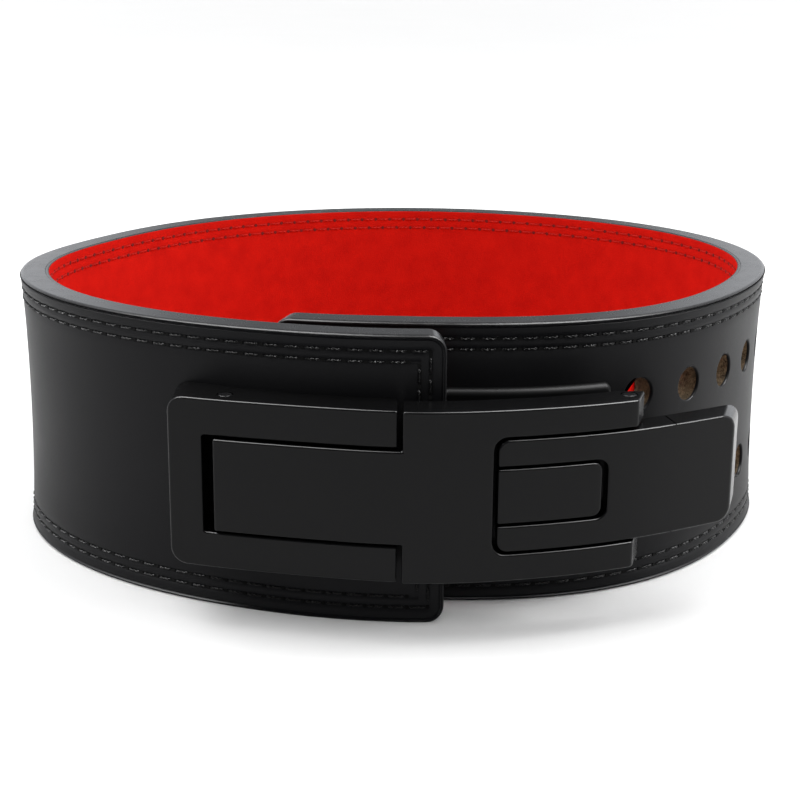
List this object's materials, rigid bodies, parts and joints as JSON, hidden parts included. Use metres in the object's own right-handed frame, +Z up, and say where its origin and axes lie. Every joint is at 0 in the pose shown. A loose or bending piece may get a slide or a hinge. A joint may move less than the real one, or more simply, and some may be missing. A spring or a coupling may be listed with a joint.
{
  "type": "weightlifting belt",
  "caption": "Stiff black leather lifting belt rolled into a loop, lined with red suede and closed by a cast lever buckle whose hook plate sits in punched holes.",
  "frame": {"origin": "under the middle of the whole belt's bounding box, on the surface that the lower rim stands on", "axes": "+Z up through the loop, -Y out of the buckle's front, +X to the right as seen from the front"},
  "size_m": [0.2964, 0.2912, 0.1],
  "materials": {
    "black_leather": "smooth satin black grain leather",
    "red_suede": "napped red suede",
    "coated_metal": "satin black coated casting",
    "pin_steel": "blackened steel"
  },
  "bodies": {
    "root": {"strap": "black_leather", "lining": "red_suede", "base_frame": "coated_metal", "lever": "coated_metal", "handle": "coated_metal", "tongue": "coated_metal", "hook_plate": "coated_metal", "frame_pin": "pin_steel", "lever_pin": "pin_steel", "tongue_pin": "pin_steel", "frame_screw_1": "pin_steel", "frame_screw_2": "pin_steel", "frame_screw_3": "pin_steel", "frame_screw_4": "pin_steel"}
  },
  "joints": []
}
